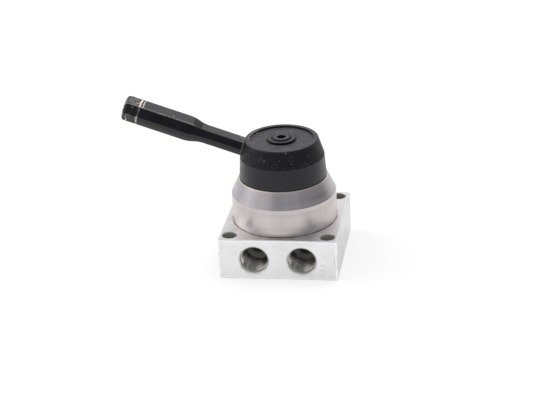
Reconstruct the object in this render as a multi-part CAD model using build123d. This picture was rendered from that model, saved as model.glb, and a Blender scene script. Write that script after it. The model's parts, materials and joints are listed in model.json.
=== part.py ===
from build123d import *
import os
from math import asin, cos, degrees, pi, radians, sin, sqrt, tan

# Hand lever air valve, in millimetres: a rotary disc valve with four ports and three positions.
# The origin is the centre of the block's underside. +Z is up, two ports face -Y and two face +Y,
# and the lever points to -X in its middle position.

# ---- Clearances ----
RUN_GAP = 0.05           # between faces that turn or slide on each other
FIT_GAP = 0.05           # round a piece that is located in a hole or a recess
SKIRT_GAP = 0.35         # between the hub's skirt and the bonnet's top face
SPRING_GAP = 0.3         # between a spring and the boss or pocket that guides it

# ---- Valve block ----
BLOCK_W = 56.0           # side of the square block
BLOCK_H = 20.0
BLOCK_CHAMFER = 0.4
MOUNT_EDGE = 5.0         # from the sides to the centres of the through holes for M6 screws
MOUNT_HOLE_R = 3.3
MOUTH_CHAMFER = 0.4

# ---- Ports: G 1/4 threads, drawn at their major diameter ----
PORT_PITCH = 22.5
PORT_Z = 9.45
PORT_R = 6.58
PORT_DEPTH = 15.0
PORT_CHAMFER = 0.47
PILOT_R = 4.0            # drilling behind the thread
DRILL_ANGLE = 118.0
PASSAGE_R = 2.25         # upright drilling from the pilot to the valve's seat

# ---- Seat plate, let into the block's top face ----
SEAT_R = 15.0
FACE_MARGIN = 4.4        # from the seat's rim to the circle of its four openings
SEAT_T = 3.0
SEAL_CORD = 1.2          # side of a square seal's section
SEAL_SQUEEZE = 0.1       # how much less deep than its seal a groove is
SEAT_PIN_R = 1.25
SEAT_PIN_L = 6.0
SEAT_PIN_CIRCLE_R = 5.0
SEAT_PIN_SINK = 1.0      # from the plate's top face down to a pin

# ---- Rotor disc ----
ROTOR_MARGIN = 0.8       # how much smaller the rotor is than its seat
ROTOR_T = 6.0
KIDNEY_DEPTH = 2.5
ROTOR_BOSS_R = 5.6
ROTOR_BOSS_H = 3.4
TONGUE_W = 4.0
TONGUE_END_GAP = 0.3
SWING = 45.0             # turn of the lever each way, in degrees

# ---- Rotor spring ----
SPRING_WIRE = 0.9
SPRING_TURNS = 2.5
WIRE_ASPECT = 0.96       # height of a spring's square wire over its width

# ---- Bonnet ----
CHAMBER_GAP = 1.6        # from the rotor's rim to the chamber wall
CHAMBER_H = 14.0
SEAL_LAND = 0.9          # from the chamber to the seal's groove
BONNET_SEAL_W = 1.8
BONNET_SEAL_T = 1.4
RIM_W = 6.3              # from the seal's groove to the outside, drilled for the screws
STRAIGHT_H = 13.6        # height of the bonnet's straight side
CONE_H = 7.8
CONE_RUN = 3.8           # how far the cone draws in

# ---- Socket cap screws ----
HEAD_EDGE = 0.35
SOCKET_DEPTH_SHARE = 0.5
TAP_RUNOUT = 2.0         # how much deeper a tapped hole is than its screw

# ---- Bonnet screws: M4, from below ----
BONNET_SCREWS = 4
BONNET_SCREW_R = 2.0
BONNET_SCREW_GRIP = 9.4  # length of thread in the bonnet
BONNET_HEAD_R = 3.5
BONNET_HEAD_H = 4.0
HEAD_SINK = 0.4
CLEARANCE_HOLE = 0.25
BONNET_SOCKET_AF = 3.0

# ---- Spindle ----
SPINDLE_R = 5.0
SPINDLE_FLANGE_R = 8.5
SPINDLE_FLANGE_T = 2.9
THRUST_T = 0.55
SHOULDER_H = 1.6         # round journal inside the hub, below the square
SQUARE_AF = 8.0
SPINDLE_SEAL_W = 1.6
SPINDLE_SEAL_T = 1.1

# ---- Bush ----
BUSH_WALL = 1.5
BUSH_L = 4.4
BUSH_FLANGE_R = 8.2
BUSH_FLANGE_T = 1.0

# ---- Hub of the lever handle ----
SKIRT_STEP = 0.42        # how much smaller the hub is than the bonnet's top
BAND_H = 9.85            # smooth band
BAND_DRAFT = 0.65
CAP_H = 8.3              # cast cone above the band
CAP_RUN = 2.56
HUB_EDGE = 0.4
RECESS_RIM = 2.3
RECESS_D = 0.9
SKIRT_WALL = 3.1
HOLLOW_H = 7.25
HUB_BOSS_R = 9.0
WEB_T = 8.0

# ---- Lever ----
LEVER_TILT = 19.15       # degrees above level
LEVER_RISE = 7.2         # height where its axis crosses the hub's axis, above the skirt
LEVER_L = 78.5           # from the hub's axis to the tip, along the lever
GRIP_AF = 11.9
NECK_AF = 8.8
ROOT_AF = 8.7
NECK_END = 38.3          # distances from the hub's axis
GRIP_START = 46.8
TIP_LEN = 1.8            # rounding of the tip: along the lever, and in from its flats
TIP_IN = 2.2
TIP_STEPS = 3
LEVER_EDGE_R = 0.45
LEVER_SIDES = 8
TAPER_STEPS = 4

# ---- Clamp collar and its M5 screw ----
LEVER_SCREW_R = 2.5
LEVER_SCREW_L = 13.0
LEVER_HEAD_R = 4.25
LEVER_HEAD_H = 5.0
LEVER_SOCKET_AF = 4.0
HEAD_PROUD = 0.5
COLLAR_FLANGE_R = 6.5
COLLAR_FLANGE_T = 1.0
COLLAR_EDGE = 0.2
COLLAR_WALL = 1.3
COLLAR_FLOOR = 1.0
SPINDLE_END_GAP = 0.6    # from the collar down to the spindle, so that the collar clamps the hub

# ---- Stop pin and detents ----
STOP_PIN_R = 1.5
STOP_PIN_IN = 5.4
STOP_PIN_OUT = 5.6
STOP_PIN_EDGE = 0.3
STOP_WALL_GAP = 1.4
STOP_RIB_T = 3.0
BALL_R = 2.5
BALL_DROP = 0.3          # how far a ball drops from its race into a dimple
RACE_DEPTH = 0.6
RACE_FLOOR_W = 2.4       # the race's sides slope outwards from its floor
DETENT_WALL = 1.3
DETENT_BOSS_SINK = 0.1   # how far a pocket's boss is let into the skirt
POCKET_H = 12.0
DETENT_WIRE = 0.6
DETENT_TURNS = 4.0
DETENT_ANGLES = (90.0, -90.0)

# ---- Heights, from the block's underside up ----
seat_z = BLOCK_H - SEAT_T
rotor_z = BLOCK_H + RUN_GAP
rotor_top = rotor_z + ROTOR_T
ceiling_z = BLOCK_H + CHAMBER_H
flange_top = ceiling_z - RUN_GAP - THRUST_T
flange_z = flange_top - SPINDLE_FLANGE_T
bonnet_top = BLOCK_H + STRAIGHT_H + CONE_H
bush_top = bonnet_top + BUSH_FLANGE_T
hub_z = bonnet_top + SKIRT_GAP
boss_z = bush_top + RUN_GAP
shoulder_z = boss_z + SHOULDER_H
hollow_top = hub_z + HOLLOW_H
band_top = hub_z + BAND_H
hub_top = band_top + CAP_H
recess_z = hub_top - RECESS_D
head_top = recess_z + COLLAR_FLANGE_T + HEAD_PROUD
head_z = head_top - LEVER_HEAD_H
collar_z = head_z - COLLAR_FLOOR
spindle_top = collar_z - SPINDLE_END_GAP

# ---- Radii ----
face_circle_r = SEAT_R - FACE_MARGIN
rotor_r = SEAT_R - ROTOR_MARGIN
chamber_r = rotor_r + CHAMBER_GAP
seal_in_r = chamber_r + SEAL_LAND
seal_out_r = seal_in_r + BONNET_SEAL_W
bonnet_r = seal_out_r + RIM_W
bonnet_top_r = bonnet_r - CONE_RUN
screw_circle_r = seal_out_r + RIM_W / 2
journal_bore_r = SPINDLE_R + RUN_GAP
bush_r = SPINDLE_R + BUSH_WALL
hub_r = bonnet_top_r - SKIRT_STEP
band_top_r = hub_r - BAND_DRAFT
hub_top_r = band_top_r - CAP_RUN
recess_r = hub_top_r - RECESS_RIM
hollow_r = hub_r - SKIRT_WALL
collar_r = LEVER_HEAD_R + FIT_GAP + COLLAR_WALL
pocket_r = BALL_R + RUN_GAP
detent_boss_r = pocket_r + DETENT_WALL
detent_circle_r = hollow_r + DETENT_BOSS_SINK - detent_boss_r
stop_circle_r = hollow_r - STOP_WALL_GAP - STOP_PIN_R
stop_angle = SWING + degrees(asin((STOP_PIN_R + STOP_RIB_T / 2 + RUN_GAP) / stop_circle_r))
race_z = bonnet_top - RACE_DEPTH
ball_z = race_z + RUN_GAP + BALL_R

FACE_ANGLES = (45.0, 135.0, 225.0, 315.0)
EXHAUST_ANGLE = 315.0    # the rotor's recess spans this opening and one beside it
SUPPLY_ANGLE = 135.0     # the rotor's through slot spans this one


def rod(radius, z0, z1, x=0.0, y=0.0):
    """An upright round bar between two heights."""
    return Pos(x, y, z0) * Cylinder(radius, z1 - z0, align=(Align.CENTER, Align.CENTER, Align.MIN))


def tube(outer_r, inner_r, z0, z1, x=0.0, y=0.0):
    """An upright ring with a square section."""
    return rod(outer_r, z0, z1, x, y) - rod(inner_r, z0, z1, x, y)


def slab(length, width, z0, z1):
    """An upright rectangular bar round the Z axis."""
    return Pos(0, 0, z0) * Box(length, width, z1 - z0, align=(Align.CENTER, Align.CENTER, Align.MIN))


def flared(radius, flare, z0, z1, x=0.0, y=0.0):
    """A bar to cut a through hole with a chamfered mouth at the top."""
    mouth = Cone(radius, radius + flare, flare, align=(Align.CENTER, Align.CENTER, Align.MAX))
    return rod(radius, z0, z1, x, y) + Pos(x, y, z1) * mouth


def around(radius, angle):
    """The point on a circle round the Z axis."""
    return radius * cos(radians(angle)), radius * sin(radians(angle))


def cap_screw(shank_r, shank_l, head_r, head_h, socket_af):
    """A socket cap screw that stands on its head's underside, with its shank pointing down."""
    head = rod(head_r, 0, head_h)
    head = chamfer(head.edges().sort_by(Axis.Z)[-1], HEAD_EDGE)
    socket = extrude(RegularPolygon(socket_af / 2, 6, major_radius=False), head_h * SOCKET_DEPTH_SHARE)
    return head - Pos(0, 0, head_h * (1 - SOCKET_DEPTH_SHARE)) * socket + rod(shank_r, -shank_l, 0)


def square_wire_spring(outer_r, wire, turns, z0, z1):
    """A compression spring of square wire that stands between two heights."""
    pitch = (z1 - z0 - wire) / turns
    mean_r = outer_r - wire / 2
    path = Helix(pitch, pitch * turns, mean_r)
    section = Plane(origin=path @ 0, z_dir=path % 0, x_dir=(1, 0, 0)) * Rectangle(wire, wire * WIRE_ASPECT)
    return Pos(0, 0, z0 + wire / 2) * sweep(section, path=path, is_frenet=True)


# ---- Valve block ----

def port_cut(side_x, side_y):
    """The cut for one port: chamfered mouth, threaded bore and pilot drilling behind it."""
    passage_y = around(face_circle_r, 45)[1]
    tip_h = PORT_R / tan(radians(DRILL_ANGLE / 2))
    pilot_l = BLOCK_W / 2 - passage_y + PASSAGE_R
    outline = Polyline(
        (0, 0),
        (PORT_R + PORT_CHAMFER, 0),
        (PORT_R, PORT_CHAMFER),
        (PORT_R, PORT_DEPTH),
        (PILOT_R, PORT_DEPTH + tip_h * (1 - PILOT_R / PORT_R)),
        (PILOT_R, pilot_l),
        (0, pilot_l),
        close=True,
    )
    cut = revolve(make_face(outline), Axis.Y)
    cut = Pos(PORT_PITCH / 2 * side_x, -BLOCK_W / 2, PORT_Z) * cut
    return cut if side_y < 0 else cut.mirror(Plane.XZ)


def valve_block():
    """The square block, with its ports, passages, seat recess and screw holes."""
    block = slab(BLOCK_W, BLOCK_W, 0, BLOCK_H)
    block = chamfer(block.edges(), BLOCK_CHAMFER)
    mount = BLOCK_W / 2 - MOUNT_EDGE
    for side_x in (-1, 1):
        for side_y in (-1, 1):
            block -= port_cut(side_x, side_y)
            block -= flared(MOUNT_HOLE_R, MOUTH_CHAMFER, 0, BLOCK_H, side_x * mount, side_y * mount)
    block -= rod(SEAT_R + FIT_GAP, seat_z, BLOCK_H)
    for angle in FACE_ANGLES:
        x, y = around(face_circle_r, angle)
        block -= rod(PASSAGE_R, PORT_Z - PASSAGE_R, seat_z, x, y)
        block -= rod(seat_seal_r() + FIT_GAP, seat_z - SEAL_CORD + SEAL_SQUEEZE, seat_z, x, y)
    for side_x in (-1, 1):
        block -= rod(SEAT_PIN_R + FIT_GAP / 2, pin_z() - FIT_GAP, seat_z, side_x * SEAT_PIN_CIRCLE_R)
    for i in range(BONNET_SCREWS):
        x, y = around(screw_circle_r, i * 360 / BONNET_SCREWS)
        block -= rod(BONNET_SCREW_R + CLEARANCE_HOLE, 0, BLOCK_H, x, y)
        block -= rod(BONNET_HEAD_R + 2 * CLEARANCE_HOLE, 0, HEAD_SINK + BONNET_HEAD_H, x, y)
    return block


# ---- Seat plate, its seals and pins ----

def seat_seal_r():
    """Outer radius of the seal round one opening."""
    return PASSAGE_R + SEAL_CORD


def pin_z():
    """Foot of the seat's pins: they end just below the plate's top face."""
    return BLOCK_H - SEAT_PIN_SINK - SEAT_PIN_L


def seat_plate():
    """The lapped plate that the rotor turns on."""
    plate = rod(SEAT_R, seat_z, BLOCK_H)
    for angle in FACE_ANGLES:
        plate -= rod(PASSAGE_R, seat_z, BLOCK_H, *around(face_circle_r, angle))
    for side_x in (-1, 1):
        plate -= rod(SEAT_PIN_R + FIT_GAP / 2, seat_z, BLOCK_H, side_x * SEAT_PIN_CIRCLE_R)
    return plate


def seat_seals():
    """Four square rings in the block under the seat plate."""
    depth = SEAL_CORD - SEAL_SQUEEZE
    return [tube(seat_seal_r(), PASSAGE_R + FIT_GAP, seat_z - depth, seat_z, *around(face_circle_r, angle))
            for angle in FACE_ANGLES]


def seat_pins():
    """Two dowel pins that stop the seat plate from turning."""
    return [rod(SEAT_PIN_R, pin_z(), pin_z() + SEAT_PIN_L, side_x * SEAT_PIN_CIRCLE_R) for side_x in (-1, 1)]


# ---- Rotor disc and its spring ----

def arc_slot(middle):
    """The outline of a curved slot over the circle of openings, reaching one swing to each side."""
    return SlotArc(CenterArc((0, 0), face_circle_r, middle - SWING, 2 * SWING), 2 * PASSAGE_R)


def tongue_z():
    """Foot of the spindle's tongue in the rotor's slot."""
    return rotor_top + 2 * TONGUE_END_GAP


def rotor_disc():
    """The disc that joins the openings in pairs, with a slotted boss for the spindle's tongue."""
    disc = rod(rotor_r, rotor_z, rotor_top) + rod(ROTOR_BOSS_R, rotor_top, rotor_top + ROTOR_BOSS_H)
    disc -= Pos(0, 0, rotor_z) * extrude(arc_slot(EXHAUST_ANGLE), KIDNEY_DEPTH)
    disc -= Pos(0, 0, rotor_z) * extrude(arc_slot(SUPPLY_ANGLE), ROTOR_T)
    disc -= slab(2 * rotor_r, TONGUE_W + 2 * FIT_GAP, rotor_top + TONGUE_END_GAP, flange_z)
    return disc


def rotor_spring():
    """The spring that holds the rotor down on its seat."""
    outer_r = ROTOR_BOSS_R + SPRING_GAP + SPRING_WIRE
    return square_wire_spring(outer_r, SPRING_WIRE, SPRING_TURNS, rotor_top, flange_z)


# ---- Spindle, its seal, washer and bush ----

def rounded_square(across_flats, radius):
    """A square with its corners turned down to a radius."""
    return Rectangle(across_flats, across_flats) & Circle(radius)


def spindle_seal_z():
    """Foot of the spindle's seal, half way up the plain bore under the bush."""
    return (ceiling_z + bonnet_top - BUSH_L - SPINDLE_SEAL_W) / 2


def spindle():
    """The shaft from the rotor to the hub: tongue, flange, journal with a seal groove, square and thread."""
    shaft = rod(SPINDLE_FLANGE_R, flange_z, flange_top) + rod(SPINDLE_R, flange_top, shoulder_z)
    square = rounded_square(SQUARE_AF, SPINDLE_R)
    shaft += Pos(0, 0, shoulder_z) * extrude(square, spindle_top - shoulder_z)
    tongue = Rectangle(2 * SPINDLE_R, TONGUE_W) & Circle(SPINDLE_R)
    shaft += Pos(0, 0, tongue_z()) * extrude(tongue, flange_z - tongue_z())
    groove_z = spindle_seal_z()
    shaft -= tube(2 * SPINDLE_R, SPINDLE_R - SPINDLE_SEAL_T, groove_z - FIT_GAP,
                  groove_z + SPINDLE_SEAL_W + FIT_GAP)
    shaft -= rod(LEVER_SCREW_R + FIT_GAP / 2, head_z - LEVER_SCREW_L - TAP_RUNOUT, spindle_top)
    return shaft


def spindle_seal():
    """The ring in the spindle's groove, running in the bonnet's bore."""
    foot = spindle_seal_z()
    return tube(SPINDLE_R + RUN_GAP / 2, SPINDLE_R - SPINDLE_SEAL_T + RUN_GAP / 2, foot, foot + SPINDLE_SEAL_W)


def thrust_washer():
    """The washer between the spindle's flange and the chamber's ceiling."""
    return tube(SPINDLE_FLANGE_R, journal_bore_r, flange_top, flange_top + THRUST_T)


def shaft_bush():
    """The flanged bush in the top of the bonnet, which the hub also rests on."""
    bush = tube(bush_r, journal_bore_r, bonnet_top - BUSH_L, bonnet_top)
    return bush + tube(BUSH_FLANGE_R, journal_bore_r, bonnet_top, bush_top)


# ---- Bonnet, its seal, screws and stop pin ----

def dimple():
    """A drill point, as deep as lets the ball drop, with its mouth in the bonnet's top face."""
    half_angle = radians(DRILL_ANGLE / 2)
    tip_z = ball_z - BALL_DROP - (BALL_R + RUN_GAP) / sin(half_angle)
    depth = bonnet_top - tip_z
    point = Cone(0, depth * tan(half_angle), depth, align=(Align.CENTER, Align.CENTER, Align.MIN))
    return Pos(0, 0, tip_z) * point


def detent_race(middle):
    """The cut that one detent ball runs in: a shallow race with sloping sides, and three dimples."""
    half_w = RACE_FLOOR_W / 2
    section = Polyline(
        (detent_circle_r - half_w, race_z),
        (detent_circle_r + half_w, race_z),
        (detent_circle_r + half_w + RACE_DEPTH, bonnet_top),
        (detent_circle_r - half_w - RACE_DEPTH, bonnet_top),
        close=True,
    )
    race = revolve(Plane.XZ * make_face(section), Axis.Z, revolution_arc=2 * SWING)
    cut = Rot(0, 0, middle - SWING) * race
    for turn in (-SWING, 0, SWING):
        x, y = around(detent_circle_r, middle + turn)
        cut += Pos(x, y, 0) * dimple()
    return cut


def bonnet():
    """The turned housing over the rotor: chamber, seal groove, journal bore, tapped holes and detents."""
    outline = Polyline(
        (chamber_r, BLOCK_H),
        (bonnet_r, BLOCK_H),
        (bonnet_r, BLOCK_H + STRAIGHT_H),
        (bonnet_top_r, bonnet_top),
        (bush_r + FIT_GAP / 2, bonnet_top),
        (bush_r + FIT_GAP / 2, bonnet_top - BUSH_L),
        (journal_bore_r, bonnet_top - BUSH_L),
        (journal_bore_r, ceiling_z),
        (chamber_r, ceiling_z),
        close=True,
    )
    housing = revolve(Plane.XZ * make_face(outline), Axis.Z)
    housing -= tube(seal_out_r, seal_in_r, BLOCK_H, BLOCK_H + BONNET_SEAL_T)
    for i in range(BONNET_SCREWS):
        x, y = around(screw_circle_r, i * 360 / BONNET_SCREWS)
        housing -= rod(BONNET_SCREW_R + FIT_GAP / 2, BLOCK_H, BLOCK_H + BONNET_SCREW_GRIP + TAP_RUNOUT, x, y)
    housing -= rod(STOP_PIN_R + FIT_GAP / 2, bonnet_top - STOP_PIN_IN, bonnet_top, stop_circle_r)
    for angle in DETENT_ANGLES:
        housing -= detent_race(angle)
    return housing


def bonnet_seal():
    """The square ring in the groove under the bonnet."""
    return tube(seal_out_r - FIT_GAP, seal_in_r + FIT_GAP, BLOCK_H, BLOCK_H + BONNET_SEAL_T - FIT_GAP)


def bonnet_screws():
    """The cap screws that hold the bonnet down, put in from under the block."""
    shoulder = HEAD_SINK + BONNET_HEAD_H
    screw = cap_screw(BONNET_SCREW_R, BLOCK_H - shoulder + BONNET_SCREW_GRIP, BONNET_HEAD_R, BONNET_HEAD_H,
                      BONNET_SOCKET_AF)
    screws = []
    for i in range(BONNET_SCREWS):
        x, y = around(screw_circle_r, i * 360 / BONNET_SCREWS)
        screws.append(Pos(x, y, shoulder) * Rot(180, 0, 0) * screw)
    return screws


def stop_pin():
    """The pin that stands up from the bonnet between the hub's two stop ribs."""
    pin = rod(STOP_PIN_R, bonnet_top - STOP_PIN_IN, bonnet_top + STOP_PIN_OUT, stop_circle_r)
    return chamfer(pin.edges().sort_by(Axis.Z)[-1], STOP_PIN_EDGE)


# ---- Lever handle ----

def hub_blank():
    """The hub's outer form: a smooth band with a little draft under a steeper cast cone."""
    outline = Polyline(
        (0, hub_z),
        (hub_r, hub_z),
        (band_top_r, band_top),
        (hub_top_r, hub_top - HUB_EDGE),
        (hub_top_r - HUB_EDGE, hub_top),
        (recess_r, hub_top),
        (recess_r, recess_z),
        (0, recess_z),
        close=True,
    )
    return revolve(Plane.XZ * make_face(outline), Axis.Z)


def lever_bar():
    """The lever: an eight-sided bar with a thin neck and a thicker grip, its corners up and down."""
    tilt = radians(LEVER_TILT)
    axis = Plane(origin=(0, 0, hub_z + LEVER_RISE), x_dir=(0, 1, 0), z_dir=(-cos(tilt), 0, sin(tilt)))
    stations = [(HUB_BOSS_R, ROOT_AF)]
    for step in range(TAPER_STEPS + 1):
        along = NECK_END + (GRIP_START - NECK_END) * step / TAPER_STEPS
        ease = (1 - cos(pi * step / TAPER_STEPS)) / 2
        stations.append((along, NECK_AF + (GRIP_AF - NECK_AF) * ease))
    for step in range(TIP_STEPS + 1):
        turn = pi / 2 * step / TIP_STEPS
        stations.append((LEVER_L - TIP_LEN * (1 - sin(turn)), GRIP_AF - 2 * TIP_IN * (1 - cos(turn))))
    sections = []
    for along, across_flats in stations:
        outline = RegularPolygon(across_flats / 2 / cos(pi / LEVER_SIDES), LEVER_SIDES)
        outline = fillet(outline.vertices(), LEVER_EDGE_R)
        sections.append(axis.offset(along) * outline)
    return loft(sections, ruled=True)


def hub_hollow():
    """The cut under the hub: a ring, less the web under the lever, the stop ribs and detent bosses."""
    reach = hollow_r + SKIRT_WALL / 2
    kept = Pos(-reach / 2, 0, 0) * slab(reach, WEB_T, hub_z, hollow_top)
    for angle in (-stop_angle, stop_angle):
        kept += Rot(0, 0, angle) * Pos(reach / 2, 0, 0) * slab(reach, STOP_RIB_T, hub_z, hollow_top)
    for angle in DETENT_ANGLES:
        kept += rod(detent_boss_r, hub_z, hollow_top, *around(detent_circle_r, angle))
    ring = tube(hollow_r, HUB_BOSS_R, hub_z, hollow_top)
    return ring - kept + tube(hollow_r, HUB_BOSS_R - FIT_GAP, hub_z, boss_z)


def lever_handle():
    """The cast hub and lever in one piece, with the square hole for the spindle and the detent pockets."""
    handle = hub_blank() + lever_bar()
    handle -= rod(recess_r, recess_z, hub_top + GRIP_AF)
    handle -= hub_hollow()
    handle -= rod(HUB_BOSS_R, hub_z, boss_z)
    handle -= rod(SPINDLE_R + FIT_GAP, boss_z, shoulder_z)
    square = rounded_square(SQUARE_AF + 2 * FIT_GAP, SPINDLE_R + FIT_GAP)
    handle -= Pos(0, 0, shoulder_z) * extrude(square, collar_z - shoulder_z)
    handle -= rod(collar_r + FIT_GAP, collar_z - 2 * FIT_GAP, recess_z)
    for angle in DETENT_ANGLES:
        handle -= rod(pocket_r, hub_z, hub_z + POCKET_H, *around(detent_circle_r, angle))
    return handle


# ---- Collar and screw that clamp the handle to the spindle ----

def clamp_collar():
    """The flanged cup under the screw's head."""
    collar = rod(collar_r, collar_z, recess_z) + rod(COLLAR_FLANGE_R, recess_z, recess_z + COLLAR_FLANGE_T)
    collar = chamfer(collar.edges().sort_by(Axis.Z)[-1], COLLAR_EDGE)
    collar -= rod(LEVER_HEAD_R + FIT_GAP, head_z, recess_z + COLLAR_FLANGE_T)
    return collar - rod(LEVER_SCREW_R + CLEARANCE_HOLE, collar_z, head_z)


def lever_screw():
    """The socket cap screw down the spindle's axis."""
    screw = cap_screw(LEVER_SCREW_R, LEVER_SCREW_L, LEVER_HEAD_R, LEVER_HEAD_H, LEVER_SOCKET_AF)
    return Pos(0, 0, head_z) * screw


# ---- Detents ----

def detent_ball(angle):
    """A ball at the level of its race, a little above the dimple."""
    return Pos(*around(detent_circle_r, angle), ball_z) * Sphere(BALL_R)


def detent_spring(angle):
    """The spring over a ball, in the hub's blind pocket."""
    outer_r = pocket_r - SPRING_GAP
    foot = ball_z + sqrt(BALL_R ** 2 - (outer_r - DETENT_WIRE) ** 2) + RUN_GAP
    spring = square_wire_spring(outer_r, DETENT_WIRE, DETENT_TURNS, foot, hub_z + POCKET_H)
    return Pos(*around(detent_circle_r, angle), 0) * spring


def pieces():
    """Every node's name with its solid, or its list of solids."""
    nodes = {
        "valve_block": valve_block(),
        "seat_plate": seat_plate(),
        "seat_seals": seat_seals(),
        "seat_pins": seat_pins(),
        "rotor_disc": rotor_disc(),
        "rotor_spring": rotor_spring(),
        "spindle": spindle(),
        "spindle_seal": spindle_seal(),
        "thrust_washer": thrust_washer(),
        "shaft_bush": shaft_bush(),
        "bonnet": bonnet(),
        "bonnet_seal": bonnet_seal(),
        "bonnet_screws": bonnet_screws(),
        "stop_pin": stop_pin(),
        "lever_handle": lever_handle(),
        "clamp_collar": clamp_collar(),
        "lever_screw": lever_screw(),
    }
    for number, angle in enumerate(DETENT_ANGLES, start=1):
        nodes[f"detent_ball_{number}"] = detent_ball(angle)
        nodes[f"detent_spring_{number}"] = detent_spring(angle)
    return nodes


os.makedirs("parts", exist_ok=True)
for node, shape in pieces().items():
    solids = shape if isinstance(shape, list) else [shape]
    export_step(Compound(children=solids) if len(solids) > 1 else solids[0], f"parts/{node}.step")
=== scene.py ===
import json
import math

import bpy
from mathutils import Matrix, Vector


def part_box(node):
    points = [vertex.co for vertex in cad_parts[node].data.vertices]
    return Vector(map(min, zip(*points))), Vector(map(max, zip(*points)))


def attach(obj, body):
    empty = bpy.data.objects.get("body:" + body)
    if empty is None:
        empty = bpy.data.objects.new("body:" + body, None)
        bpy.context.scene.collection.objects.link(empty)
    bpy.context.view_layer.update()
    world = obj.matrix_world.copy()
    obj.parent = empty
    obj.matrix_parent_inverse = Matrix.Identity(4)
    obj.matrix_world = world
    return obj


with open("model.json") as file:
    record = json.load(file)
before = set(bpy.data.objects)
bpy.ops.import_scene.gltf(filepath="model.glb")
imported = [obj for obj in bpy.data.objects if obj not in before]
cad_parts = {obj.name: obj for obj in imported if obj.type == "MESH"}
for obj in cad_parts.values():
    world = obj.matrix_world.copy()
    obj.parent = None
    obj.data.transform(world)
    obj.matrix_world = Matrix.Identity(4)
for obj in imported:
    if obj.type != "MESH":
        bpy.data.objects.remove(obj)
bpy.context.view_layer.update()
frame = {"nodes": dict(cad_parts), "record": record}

bl_info = {
    "name": "Hand lever valve finish",
    "version": (1, 0, 0),
    "blender": (4, 5, 0),
    "location": "3D View > Sidebar > Valve",
    "description": "Finishes a hand lever air valve: metals, black paint, port threads and a studio",
    "category": "Object",
}


# ---- Sizes and places, from the frame where it holds them ----

MM = 0.001
MOUNTS = {mount["name"]: mount for mount in frame["record"]["mounts"]}
PORTS = [mount for name, mount in sorted(MOUNTS.items()) if name.startswith("port_")]
BODY_OF = {node: body for body, nodes in frame["record"]["behaviour"]["bodies"].items() for node in nodes}

BLOCK_LOW, BLOCK_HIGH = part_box("valve_block")
BONNET_LOW, BONNET_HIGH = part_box("bonnet")
HANDLE_LOW, HANDLE_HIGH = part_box("lever_handle")
COLLAR_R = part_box("clamp_collar")[1].x
SCREW_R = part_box("lever_screw")[1].x

PORT_R = PORTS[0]["dims"]["r_mm"] * MM
PORT_LENGTH = PORTS[0]["dims"]["length_mm"] * MM
PORT_Z = PORTS[0]["pos_m"][2]
PORT_SPACING = 2 * abs(PORTS[0]["pos_m"][0])
PORT_PITCH = 1.337 * MM             # 19 threads to the inch
PORT_MOUTH_R = PORT_R + 0.5 * MM    # outside of the mouth's chamfer
PORT_LINE_R = PORT_R + 0.62 * MM    # dark line round the mouth
THREAD_CREASE = math.radians(25)    # thread faces that meet at more than this stay sharp
SKIN = 0.02 * MM                    # depth that still counts as a face of the block
HOLES = MOUNTS["mounting_holes"]["dims"]
HOLE_RIM_R = HOLES["hole_r_mm"] * MM + 0.3 * MM
HOLE_X = HOLES["spacing_x_mm"] * MM / 2
HOLE_Y = HOLES["spacing_y_mm"] * MM / 2
NUMBER_X, NUMBER_Z = 20.5 * MM, 5.2 * MM    # middle of the stamped number on the front face
CONE_START = BONNET_LOW.z + 13.6 * MM       # top of the bonnet's straight side
# painted reflection: the cone's colour darker and bluer than the side's
CONE_REFLECTION_TINT = (0.77, 0.795, 0.835)            # the bonnet's cone beside its side, in each colour

HUB_R = (HANDLE_HIGH.y - HANDLE_LOW.y) / 2
BAND_H = 9.85 * MM                  # smooth band at the foot of the hub
CAP_H = 8.3 * MM                    # cast cone over it
RIM_H = 0.4 * MM                    # rounded rim at the top of the cone
RECESS_R = 15.08 * MM               # recess in the hub's top
BAND_TOP = HANDLE_LOW.z + BAND_H
HUB_TOP = BAND_TOP + CAP_H
HUB_FOOT = Vector((0.0, 0.0, HANDLE_LOW.z))

LEVER_TILT = math.radians(19.15)
LEVER_AXIS_H = 6.8 * MM             # centre line over the hub's foot, square to the lever
GRIP_END = 33 * MM                  # from the tip to where the grip starts to thin
TIP_RIM_R = 4.7 * MM                # rim round the lever's end face
TOWARD_TIP = Vector((-math.cos(LEVER_TILT), 0.0, math.sin(LEVER_TILT)))
LEVER_UP = Vector((math.sin(LEVER_TILT), 0.0, math.cos(LEVER_TILT)))
HANDLE_POINTS = [vertex.co.copy() for vertex in frame["nodes"]["lever_handle"].data.vertices]
LEVER_REACH = max((point - HUB_FOOT).dot(TOWARD_TIP) for point in HANDLE_POINTS)


def hub_radius(height, near):
    """The hub's radius at a height, from the carried-over mesh."""
    radii = [math.hypot(point.x, point.y) for point in HANDLE_POINTS if abs(point.z - height) < near]
    return max(radius for radius in radii if radius < HUB_R)


CONE_FOOT_R = hub_radius(BAND_TOP, 0.3 * MM)
CONE_TOP_R = hub_radius(HUB_TOP - RIM_H, 0.15 * MM)
CONE_SLOPE = (CONE_FOOT_R - CONE_TOP_R) / (CAP_H - RIM_H)


# ---- Sizes and colours that a user would change ----

def length(name, description, default):
    """A length property in metres."""
    return bpy.props.FloatProperty(name=name, description=description, default=default, min=0.0,
                                   subtype="DISTANCE", unit="LENGTH", precision=6)


def colour(name, description, default, most=1.0):
    """A colour property."""
    return bpy.props.FloatVectorProperty(name=name, description=description, default=default, size=3,
                                         min=0.0, max=most, subtype="COLOR")


def factor(name, description, default):
    """A share from 0 to 1."""
    return bpy.props.FloatProperty(name=name, description=description, default=default, min=0.0, max=1.0,
                                   subtype="FACTOR")


def angle(name, description, degrees):
    """An angle property, with its default in degrees."""
    return bpy.props.FloatProperty(name=name, description=description, default=math.radians(degrees),
                                   subtype="ANGLE", unit="ROTATION")


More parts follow.
